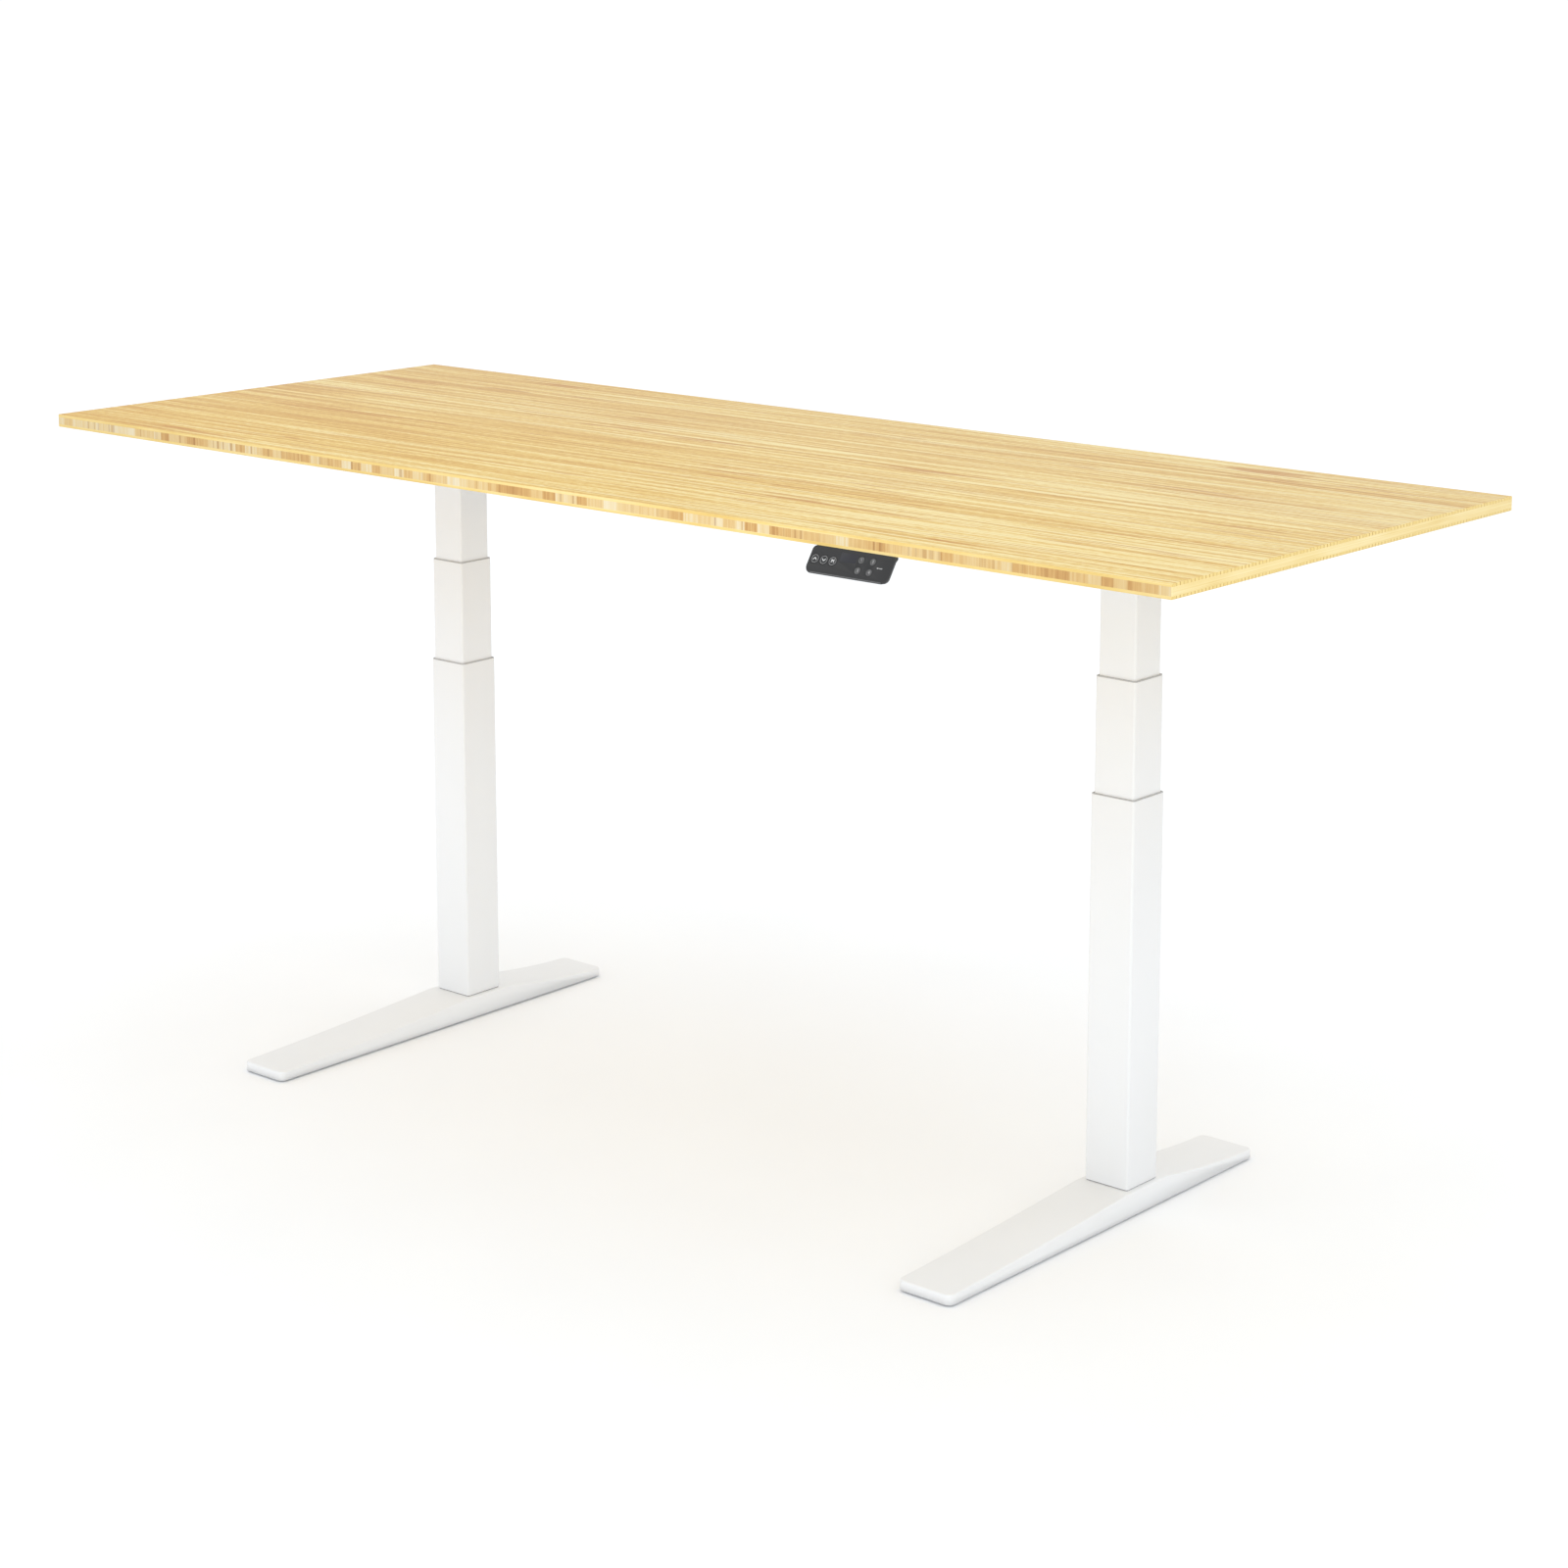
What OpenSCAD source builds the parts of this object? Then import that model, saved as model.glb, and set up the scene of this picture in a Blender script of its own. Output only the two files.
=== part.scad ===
// Height adjustable standing desk: two three-stage electric columns on
// levelling feet carry a laminated bamboo top with a hand keypad under its
// front edge. X runs along the desk, -Y faces the user and +Z is up.
// The origin lies on the floor, under the middle of the desk's outline.

/* [Desktop] */
// Length of the desktop
top_l = 2032; // [1900:1:2200]
// Depth of the desktop
top_w = 778; // [760:1:820]
// Thickness of the desktop
top_t = 19; // [18:0.5:26]
// Height of the desktop's upper face
top_z = 973.5; // [965:0.5:985]
// Rounding of the desktop's four upright corners
top_corner_r = 2; // [1:0.5:6]

/* [Columns] */
// Distance between the two columns
column_spacing = 1265; // [1230:1:1300]
// How far the columns stand behind the middle of the desktop
column_back = 82; // [70:1:90]
// Width of the lower tube
lower_w = 70; // [69.5:0.5:71]
// Width of the middle tube
mid_w = 64.5; // [64:0.5:65]
// Width of the upper tube
upper_w = 59; // [58.5:0.5:59.5]
// Rounding of the tubes' corners
tube_r = 4; // [3:0.5:5]
// Height of the lower tube's top
lower_top = 572; // [560:1:575]
// Height of the middle tube's top
mid_top = 731; // [725:1:735]
// Length of the middle tube
mid_l = 500; // [490:1:510]
// Height of the upper tube's lower end
upper_bottom = 415; // [410:1:430]

/* [Feet] */
// Length of a foot
foot_l = 687; // [660:1:710]
// Width of a foot
foot_w = 86; // [84:1:96]
// Height of the flat under the column
foot_h = 36; // [34:0.5:38]
// Height of the foot's front end
foot_front_h = 16.5; // [16:0.5:20]
// Height of the foot's back end
foot_back_h = 15.5; // [15:0.5:20]
// Gap between the floor and the foot's rim
foot_gap = 3; // [2.5:0.5:4]
// Thickness of the pressed foot
foot_wall = 3; // [2.5:0.5:3]

/* [Keypad] */
// Width of the keypad
pad_w = 130; // [128:1:140]
// Height of the keypad's sloping face
pad_h = 37; // [36:0.5:39]
// Tilt of the face from flat
pad_tilt = 57; // [54:1:60]
// Distance of the keypad's middle from the desk's middle
pad_x = 553; // [400:1:560]
// Travel of a button
button_travel = 0.5; // [0.3:0.1:0.8]

/* [Under-frame] */
// Width of each cross rail
rail_w = 28; // [26:1:28]
// Height of each cross rail
rail_h = 38; // [34:1:38]
// Length of each side arm
arm_l = 560; // [500:5:570]
// Length of the control box
box_l = 260; // [240:1:280]
// Depth of the control box
box_w = 105; // [95:1:110]

/* [Hidden] */
$fn = 48;
e = 0.01;

// Finishes
bamboo = "burlywood";
powder_white = "whitesmoke";
bright_steel = "silver";
dark_plastic = "#34363a";
bronze = "#b08d57";

// Where the groups stand
pad_reach = pad_h * cos(pad_tilt);
desk_y = pad_reach / 2;
under_z = top_z - top_t;
front_y = desk_y - top_w / 2;
column_x = column_spacing / 2;
column_y = desk_y + column_back;
foot_y = desk_y - 2;

// Tube walls and the play between stages
tube_wall = 1.5;
upper_wall = 2;
play = 0.3;
lower_bore = lower_w - 2 * tube_wall;
mid_bore = mid_w - 2 * tube_wall;
upper_bore = upper_w - 2 * upper_wall;
seam = 1;
plate_t = 5;
collar_depth = 32;
collar_rim = 1.5;
rim_inset = 0.5;

// Drive inside each column
screw_r = 7;
run_gap = 0.1;
drive_r = 10;
drive_bore_r = 7.5;
drive_nut_r = 12.5;
lead_r = 15;
lead_bore_r = 10.5;
post_r = 22;
post_bore_r = 17;
mid_bottom = mid_top - mid_l;
post_top = mid_top - 81;
lead_bottom = upper_bottom + 25;
shaft_r = 6;

// Column head, gearbox and motor
head_wall = 3;
head_z = under_z - 61.5;
head_half = 78;
head_in = 60;
head_out = 45;
head_flange = 20;
gear_l = 72;
gear_w = 66;
gear_h = 46;
motor_r = 26;
motor_l = 112;
motor_z = under_z - 30;
rail_y = head_half - head_wall - rail_w / 2;
rail_top = under_z - 12;
rail_end = column_x - 12;
rail_wall = 2;

// Side arms
arm_w = 46;
arm_h = 28;
arm_tip = 10;
arm_taper = 120;
arm_wall = 3;
arm_x = column_x + head_out + arm_w / 2;
arm_y = desk_y + 50;

// Fasteners
bolt_r = 3.9;
bolt_head_r = 7;
bolt_grid = 22;
m6_r = 3;
m6_head_r = 5.5;
m6_head_h = 4;
wood_r = 2.2;
wood_l = 14;
wood_head_r = 4.5;
small_r = 1.4;
small_l = 9;
small_head_r = 3;
arm_screw_y = [-230, -90, 90, 230];
rail_bolt_x = [20, 45];
arm_bolt_y = [-40, 40];
head_screw_x = [-40, 25];

// Levelling glides
glide_r = 16;
glide_stem_r = 4;
glide_inset = 46;
glide_boss_r = 8;

// Control box
box_y = desk_y + 228;
box_h = 36;
box_wall = 2;
box_tab = 14;
box_tab_y = 35;
box_screw_x = box_l / 2 + box_tab / 2;
inlet_body = [27.5, 14, 19.5];
inlet_flange = [34, 1.5, 24];
inlet_recess = [21, 10.5, 13.5];

// Keypad face, measured from the top left corner of the sloping face
pad_wall = 2;
tray_t = 6.5;
tray_draft = 3;
pad_depth = 45;
pad_back_h = 13;
pad_core_w = 50;
pad_neck_edge = 4;
pad_flange_edge = 14;
pad_flange_t = 3;
face_t = 1.5;
face_side = 1.2;
face_lip = 2.4;
button_proud = 0.3;
button_t = 2.2;
big_r = 6.2;
small_button_r = 4.6;
button_gap = 0.3;
pocket_depth = button_t - button_proud + button_travel + 1.5;
pocket_edge = 3;
pocket_lip = 5;
button_up_at = [9.5, 17.7];
button_down_at = [23.5, 17.7];
button_memory_at = [37.5, 17.7];
button_1_at = [80, 10.8];
button_2_at = [98, 10.8];
button_3_at = [80, 25];
button_4_at = [98, 25];
display_from = [46.5, 4];
display_size = [26, 12.5];
pad_screw_x = 40;
pad_screw_y = 36;

// Leads clipped under the desktop: across from the desk's middle, back from
// its middle, and down from its underside
lead_d = 5;
lead_drop = 4.5;
lead_sides = 8;
box_entry_drop = 17;
motor_lead_y = 246;
keypad_lead_y = 215;
motor_lead_route = [
    [477, 82, 30], [468, 82, 29.5], [456, 84, 27], [446, 90, 22], [438, 99, 16], [430, 110, 10],
    [422, 123, 6], [414, 138, 4.5], [408, 155, 4.5], [405, 172, 4.5], [405, 205, 4.5],
    [402, 223, 4.5], [392, 237, 4.5], [376, 245, 4.5], [358, 246, 4.5], [280, 246, 4.5],
    [205, 246, 4.5], [188, 246, 6], [174, 246, 10], [162, 246, 15], [152, 246, 17],
    [142, 246, 17], [127, 246, 17]];
keypad_lead_route = [
    [548, -352, 6.5], [548, -336, 6.5], [548, -318, 5.5], [548, -300, 4.5], [548, -200, 4.5],
    [548, -100, 4.5], [545, -78, 4.5], [536, -61, 4.5], [520, -51, 4.5], [502, -48, 4.5],
    [440, -48, 4.5], [401, -48, 4.5], [383, -45, 4.5], [367, -35, 4.5], [358, -19, 4.5],
    [355, -1, 4.5], [355, 80, 4.5], [355, 169, 4.5], [352, 187, 4.5], [342, 203, 4.5],
    [326, 212, 4.5], [308, 215, 4.5], [255, 215, 4.5], [205, 215, 4.5], [188, 215, 6],
    [174, 215, 10], [162, 215, 15], [152, 215, 17], [142, 215, 17], [127, 215, 17]];

// Saddle clips, each with its place and 0 along X or 90 along Y
clip_places = [[300, 246, 0], [240, 246, 0], [-300, 246, 0], [-240, 246, 0],
    [548, -250, 90], [548, -140, 90], [470, -48, 0], [355, 60, 90], [250, 215, 0]];
clip_l = 8;
clip_w = 14;
clip_h = 9;
clip_gap = 0.5;

// Ramps of a foot, from each end to the flat under the column
flat_half = 48;
front_run = foot_l / 2 + column_back + 2 - flat_half;
back_run = foot_l / 2 - column_back - 2 - flat_half;
front_bend = 1.3;
back_bend = 1.7;
ramp_steps = 10;
foot_corner_r = 10;

// A square with four round corners
module round_square(w, r) {
    round_rect([w, w], r);
}

// A rectangle with four round corners, centred
module round_rect(size, r) {
    union() {
        square([size[0], size[1] - 2 * r], center = true);
        square([size[0] - 2 * r, size[1]], center = true);
        for (sx = [-1, 1], sy = [-1, 1])
            translate([sx * (size[0] / 2 - r), sy * (size[1] / 2 - r)])
                circle(r);
    }
}

// A square tube between two heights
module square_tube(outer, bore, r, z0, z1) {
    translate([0, 0, z0])
        linear_extrude(z1 - z0)
            difference() {
                round_square(outer, r);
                round_square(bore, max(r - (outer - bore) / 2, 0.8));
            }
}

// A round bar or tube between two heights
module bar(r, z0, z1) {
    translate([0, 0, z0])
        cylinder(h = z1 - z0, r = r);
}

// Puts a column's piece on its axis, mirrored on the left
module at_column(side) {
    translate([0, column_y, 0])
        if (side < 0)
            mirror([1, 0, 0]) translate([column_x, 0, 0]) children();
        else
            translate([column_x, 0, 0]) children();
}

module desktop() {
    color(bamboo)
        difference() {
            translate([0, desk_y, under_z])
                linear_extrude(top_t)
                    round_rect([top_l, top_w], top_corner_r);
            wood_screw_places()
                translate([0, 0, -e])
                    cylinder(h = wood_l - 1, r = wood_r - 0.2);
            small_screw_places()
                translate([0, 0, -e])
                    cylinder(h = small_l - 1, r = small_r - 0.1);
        }
}

// Side outline of a foot, lowered by drop, from its front end to its back end
function ramp(low, t, bend) = low + (foot_h - low) * pow(t, bend);
function foot_outline(drop, inset, z0) = concat(
    [[-foot_l / 2 + inset, z0]],
    [for (i = [0:ramp_steps])
        let (t = i / ramp_steps)
        [-foot_l / 2 + max(inset, t * front_run), ramp(foot_front_h, t, front_bend) - drop]],
    [for (i = [ramp_steps:-1:0])
        let (t = i / ramp_steps)
        [foot_l / 2 - max(inset, t * back_run), ramp(foot_back_h, t, back_bend) - drop]],
    [[foot_l / 2 - inset, z0]]);

module foot_block(drop, inset, z0) {
    intersection() {
        rotate([90, 0, 90])
            linear_extrude(foot_w, center = true)
                polygon(foot_outline(drop, inset, z0));
        translate([0, 0, -50])
            linear_extrude(200)
                round_rect([foot_w - 2 * inset, foot_l - 2 * inset], foot_corner_r - inset);
    }
}

module glide_places() {
    for (end = [-1, 1])
        translate([0, end * (foot_l / 2 - glide_inset), 0])
            children();
}

module foot(side) {
    boss_z = foot_gap + 1;
    boss_top = foot_back_h - foot_wall + 1;
    color(powder_white)
        translate([side * column_x, foot_y, 0])
            difference() {
                union() {
                    difference() {
                        foot_block(0, 0, foot_gap);
                        foot_block(foot_wall, foot_wall, -10);
                    }
                    intersection() {
                        foot_block(1, 1, foot_gap);
                        glide_places()
                            bar(glide_boss_r, boss_z, foot_h);
                    }
                }
                glide_places()
                    bar(glide_stem_r + run_gap, 0, boss_top);
                translate([0, column_y - foot_y, 0])
                    bolt_places()
                        bar(bolt_r + 0.6, foot_h - foot_wall - 1, foot_h + 1);
            }
}

module bolt_places() {
    for (x = [-1, 1], y = [-1, 1])
        translate([x * bolt_grid, y * bolt_grid, 0])
            children();
}

module column_plate(side) {
    color(bright_steel)
        at_column(side)
            difference() {
                translate([0, 0, foot_h])
                    linear_extrude(plate_t)
                        round_square(lower_bore, tube_r - tube_wall);
                bolt_places()
                    bar(bolt_r + run_gap, foot_h - 1, foot_h + plate_t + 1);
            }
}

module foot_bolts() {
    head_h = 4.5;
    color(bright_steel)
        for (side = [-1, 1])
            at_column(side)
                bolt_places()
                    difference() {
                        union() {
                            bar(bolt_head_r, foot_h - foot_wall - head_h, foot_h - foot_wall);
                            bar(bolt_r, foot_h - foot_wall - 1, foot_h + plate_t + 3);
                        }
                        bar(2.5, foot_h - foot_wall - head_h - 1, foot_h - foot_wall - 2, $fn = 6);
                    }
}

module lower_tube(side) {
    color(powder_white)
        at_column(side)
            square_tube(lower_w, lower_bore, tube_r, foot_h + seam, lower_top);
}

// Plastic guide in the mouth of an outer tube, with a thin rim on top
module collar(outer_bore, outer_w, inner_w, z) {
    hole = inner_w + 2 * play;
    color(dark_plastic)
        union() {
            square_tube(outer_bore, hole, tube_r - tube_wall, z - collar_depth, z + e);
            square_tube(outer_w - 2 * rim_inset, hole, tube_r - rim_inset, z, z + collar_rim);
        }
}

module lower_collar(side) {
    at_column(side)
        collar(lower_bore, lower_w, mid_w, lower_top);
}

module mid_collar(side) {
    at_column(side)
        collar(mid_bore, mid_w, upper_w, mid_top);
}

module base_screw(side) {
    color(bright_steel)
        at_column(side)
            union() {
                bar(18, foot_h + plate_t, foot_h + plate_t + 5);
                bar(screw_r, foot_h + plate_t, upper_bottom + 40);
            }
}

module glide(side, end) {
    color(dark_plastic)
        translate([side * column_x, foot_y + end * (foot_l / 2 - glide_inset), 0])
            union() {
                bar(glide_r, 0, foot_gap);
                bar(glide_stem_r, foot_gap - 1, foot_back_h - foot_wall);
            }
}

module mid_tube(side) {
    color(powder_white)
        at_column(side)
            square_tube(mid_w, mid_bore, tube_r, mid_bottom, mid_top);
}

module mid_post(side) {
    color(bright_steel)
        at_column(side)
            difference() {
                union() {
                    translate([0, 0, mid_bottom])
                        linear_extrude(plate_t)
                            round_square(mid_bore, tube_r - tube_wall);
                    bar(post_r, mid_bottom + plate_t - e, post_top);
                }
                bar(drive_nut_r + 0.5, mid_bottom - 1, mid_bottom + plate_t + 1);
                bar(post_bore_r, mid_bottom + plate_t, post_top + 1);
            }
}

module travel_nut(side) {
    color(bronze)
        at_column(side)
            difference() {
                union() {
                    bar(post_bore_r, post_top - 40, post_top + 1);
                    bar(post_r, post_top, post_top + 6);
                }
                bar(lead_r + run_gap, post_top - 41, post_top + 7);
            }
}

// Tube that turns with the lead screw and drives the nut on the base screw
module drive_tube(side) {
    nut_top = mid_bottom + 35;
    color(bronze)
        at_column(side)
            difference() {
                union() {
                    bar(drive_nut_r, mid_bottom - 5, nut_top);
                    bar(drive_nut_r + 3, mid_bottom - 3, mid_bottom - 0.5);
                    bar(drive_nut_r + 3, mid_bottom + plate_t + 0.5, mid_bottom + plate_t + 4);
                    bar(drive_r, nut_top - 1, post_top - 10);
                }
                bar(screw_r + run_gap, mid_bottom - 6, nut_top);
                bar(drive_bore_r, nut_top - e, post_top);
            }
}

module lead_screw(side) {
    lead_top = head_z - 13;
    color(bright_steel)
        at_column(side)
            difference() {
                union() {
                    bar(lead_r, lead_bottom, lead_top);
                    bar(shaft_r, lead_top - 1, head_z + head_wall + 9);
                }
                bar(lead_bore_r, lead_bottom - 1, lead_top - 10);
            }
}

module upper_tube(side) {
    color(powder_white)
        at_column(side)
            square_tube(upper_w, upper_bore, tube_r, upper_bottom, head_z);
}

// Folded steel channel that joins a column to the rails, the arm and the top
module column_head(side) {
    len = head_in + head_out;
    mid = (head_out - head_in) / 2;
    wall_h = under_z - head_z;
    color(powder_white)
        at_column(side)
            difference() {
                translate([mid, 0, head_z])
                    union() {
                        translate([-len / 2, -head_half, 0])
                            cube([len, 2 * head_half, head_wall]);
                        for (s = [-1, 1])
                            translate([-len / 2, s * (head_half - head_wall / 2) - head_wall / 2, 0])
                                cube([len, head_wall, wall_h]);
                        for (s = [-1, 1])
                            translate([-len / 2, s * (head_half + head_flange / 2) - head_flange / 2,
                                wall_h - head_wall])
                                cube([len, head_flange, head_wall]);
                        translate([len / 2 - head_wall, -head_half, 0])
                            cube([head_wall, 2 * head_half, wall_h - 1]);
                    }
                bar(shaft_r + 1, head_z - 1, head_z + head_wall + 1);
                for (x = rail_bolt_x)
                    translate([-x, 0, rail_top - rail_h / 2])
                        rotate([90, 0, 0])
                            cylinder(h = 3 * head_half, r = m6_r + 0.3, center = true);
                for (y = arm_bolt_y)
                    translate([head_out, y + arm_y - column_y, under_z - arm_h / 2])
                        rotate([0, 90, 0])
                            cylinder(h = 20, r = m6_r + 0.3, center = true);
                for (x = head_screw_x, s = [-1, 1])
                    translate([x, s * (head_half + head_flange / 2), 0])
                        bar(wood_r + 0.3, under_z - head_wall - 1, under_z + 1);
            }
}

module gearbox(side) {
    gear_z = head_z + head_wall;
    color(dark_plastic)
        at_column(side)
            difference() {
                union() {
                    translate([0, 0, gear_z])
                        linear_extrude(gear_h)
                            round_rect([gear_l, gear_w], 9);
                    bar(24, gear_z + gear_h - 1, gear_z + gear_h + 5);
                    translate([-gear_l / 2 - 7, 0, motor_z])
                        rotate([0, 90, 0])
                            cylinder(h = 20, r = 19);
                }
                bar(shaft_r + run_gap, gear_z - 1, gear_z + 12);
            }
}

// Motor lying along the desk, inboard of the gearbox
module motor(side) {
    start = gear_l / 2 + 7;
    color(dark_plastic)
        at_column(side)
            translate([-start, 0, motor_z])
                rotate([0, -90, 0])
                    rotate_extrude()
                        polygon([[0, 0], [motor_r - 2, 0], [motor_r, 2], [motor_r, motor_l - 8],
                            [motor_r - 3, motor_l - 5], [10, motor_l - 5], [10, motor_l],
                            [0, motor_l]]);
}

// Inverted channel that carries the desktop from front to back
module side_arm(side) {
    color(powder_white)
        translate([side * arm_x, arm_y, under_z])
            difference() {
                intersection() {
                    translate([-arm_w / 2, -arm_l / 2, -arm_h])
                        difference() {
                            cube([arm_w, arm_l, arm_h]);
                            translate([arm_wall, -1, -1])
                                cube([arm_w - 2 * arm_wall, arm_l + 2, arm_h - arm_wall + 1]);
                        }
                    rotate([90, 0, 90])
                        linear_extrude(arm_w + 2, center = true)
                            polygon([[-arm_l / 2, 0], [-arm_l / 2, -arm_tip],
                                [-arm_l / 2 + arm_taper, -arm_h], [arm_l / 2 - arm_taper, -arm_h],
                                [arm_l / 2, -arm_tip], [arm_l / 2, 0]]);
                }
                for (y = arm_screw_y)
                    translate([0, y, -arm_h])
                        cylinder(h = 2 * arm_h, r = wood_r + 0.3);
                for (y = arm_bolt_y)
                    translate([-side * arm_w / 2, y, -arm_h / 2])
                        rotate([0, 90, 0])
                            cylinder(h = 20, r = m6_r + 0.3, center = true);
            }
}

module rail(side) {
    color(powder_white)
        translate([0, column_y + side * rail_y, rail_top - rail_h / 2])
            difference() {
                rotate([90, 0, 90])
                    linear_extrude(2 * rail_end, center = true)
                        difference() {
                            round_rect([rail_w, rail_h], 3);
                            round_rect([rail_w - 2 * rail_wall, rail_h - 2 * rail_wall], 1);
                        }
                for (end = [-1, 1], x = rail_bolt_x)
                    translate([end * (column_x - x), side * rail_w / 2, 0])
                        rotate([90, 0, 0])
                            cylinder(h = rail_w, r = m6_r + 0.3, center = true);
            }
}

// A hexagon socket bolt lying along +Z, its head above zero
module m6_bolt(grip) {
    difference() {
        union() {
            cylinder(h = m6_head_h, r = m6_head_r);
            translate([0, 0, -grip])
                cylinder(h = grip + 1, r = m6_r);
        }
        translate([0, 0, 1.5])
            cylinder(h = m6_head_h, r = 2.6, $fn = 6);
    }
}

module frame_bolts() {
    color(bright_steel)
        for (side = [-1, 1])
            at_column(side) {
                for (x = rail_bolt_x, s = [-1, 1])
                    translate([-x, s * head_half, rail_top - rail_h / 2])
                        rotate([-s * 90, 0, 0])
                            m6_bolt(10);
                for (y = arm_bolt_y)
                    translate([head_out + arm_wall, y + arm_y - column_y, under_z - arm_h / 2])
                        rotate([0, 90, 0])
                            m6_bolt(9);
            }
}

// Every wood screw's place on the underside of the desktop
module wood_screw_places() {
    for (side = [-1, 1], y = arm_screw_y)
        translate([side * arm_x, arm_y + y, under_z])
            children();
    for (side = [-1, 1])
        at_column(side)
            for (x = head_screw_x, s = [-1, 1])
                translate([x, s * (head_half + head_flange / 2), under_z])
                    children();
}

module wood_screws() {
    plate = head_wall;
    color(bright_steel)
        wood_screw_places()
            union() {
                translate([0, 0, -plate - 2.5])
                    cylinder(h = 2.5, r = wood_head_r);
                translate([0, 0, -plate - 1])
                    cylinder(h = wood_l + 1, r = wood_r);
            }
}

// Small screws that hold the keypad and the control box
module small_screw_places() {
    for (s = [-1, 1])
        translate([pad_x + s * pad_screw_x, front_y + pad_screw_y, under_z])
            children();
    for (sx = [-1, 1], sy = [-1, 1])
        translate([sx * box_screw_x, box_y + sy * box_tab_y, under_z])
            children();
}

module small_screws() {
    color(bright_steel)
        small_screw_places()
            union() {
                translate([0, 0, -pad_wall - 1.8])
                    cylinder(h = 1.8, r = small_head_r);
                translate([0, 0, -pad_wall - 1])
                    cylinder(h = small_l, r = small_r);
            }
}

module control_box() {
    color(dark_plastic)
        translate([0, box_y, under_z])
            difference() {
                union() {
                    translate([0, 0, -box_h])
                        linear_extrude(box_h)
                            round_rect([box_l, box_w], 5);
                    translate([-box_l / 2 - box_tab, -box_w / 2 + 6, -box_wall])
                        cube([box_l + 2 * box_tab, box_w - 12, box_wall]);
                }
                translate([0, 0, -box_h - 1])
                    linear_extrude(box_h - box_wall + 1)
                        round_rect([box_l - 2 * box_wall, box_w - 2 * box_wall], 3);
                for (sx = [-1, 1], sy = [-1, 1])
                    translate([sx * box_screw_x, sy * box_tab_y, -box_wall - 1])
                        cylinder(h = 4, r = small_r + 0.3);
                for (entry = [[-1, motor_lead_y], [1, motor_lead_y], [1, keypad_lead_y]])
                    translate([entry[0] * box_l / 2, entry[1] + desk_y - box_y, -box_entry_drop])
                        rotate([0, 90, 0])
                            cylinder(h = 12, r = lead_d / 2 + clip_gap, center = true);
                translate([0, box_w / 2, -box_h / 2])
                    cube(inlet_body + [0.5, 0, 0.5], center = true);
            }
}

module control_box_lid() {
    color(dark_plastic)
        translate([0, box_y, under_z - box_h - box_wall])
            linear_extrude(box_wall)
                round_rect([box_l, box_w], 5);
}

// Three-pin mains inlet in the back of the control box
module power_inlet() {
    color("black")
        translate([0, box_y + box_w / 2, under_z - box_h / 2])
            difference() {
                union() {
                    translate([-inlet_body[0] / 2, 1 - inlet_body[1], -inlet_body[2] / 2])
                        cube(inlet_body);
                    translate([-inlet_flange[0] / 2, 0, -inlet_flange[2] / 2])
                        cube(inlet_flange);
                }
                translate([-inlet_recess[0] / 2, inlet_flange[1] - inlet_recess[1],
                        -inlet_recess[2] / 2])
                    cube(inlet_recess + [0, 1, 0]);
            }
}

// Side outlines in the keypad housing: y back from the desk's edge, z down.
// The core holds the socket and the lead, and the neck joins the tray all along.
pad_core = [[0, 0], [-12, -29], [pad_depth, -pad_back_h], [pad_depth, 0]];
pad_core_hollow = [[1.3, -4.4], [-11.2, -23.7], [-8.5, -25.2],
    [pad_depth - pad_wall, -pad_back_h + 2.6], [pad_depth - pad_wall, -pad_wall],
    [5, -pad_wall]];
pad_neck = [[1.2, 0], [-1.5, -12], [8, -4.5], [8, 0]];

// A solid across the keypad with one of those outlines, on the underside
module across_pad(outline, width) {
    translate([pad_x, front_y, under_z])
        rotate([90, 0, 90])
            linear_extrude(width, center = true)
                polygon(outline);
}

// Places pieces on the sloping face, x from its left edge and y down from its top
module on_face() {
    translate([pad_x - pad_w / 2, front_y, under_z])
        rotate([pad_tilt, 0, 0])
            mirror([0, 1, 0])
                children();
}

// The face's outline, drawn in by edge at the sides and top and by lip at the bottom
module face_outline(edge, lip) {
    top_r = 6 - edge;
    low_r = 10 - edge;
    right = pad_w - edge;
    low = pad_h - lip;
    union() {
        translate([edge, edge + top_r])
            square([right - edge, low - edge - top_r - low_r]);
        translate([edge + top_r, edge])
            square([right - edge - 2 * top_r, top_r + e]);
        translate([edge + low_r, low - low_r - e])
            square([right - edge - 2 * low_r, low_r + e]);
        for (x = [edge + top_r, right - top_r])
            translate([x, edge + top_r])
                circle(top_r);
        for (x = [edge + low_r, right - low_r])
            translate([x, low - low_r])
                circle(low_r);
    }
}

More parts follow.
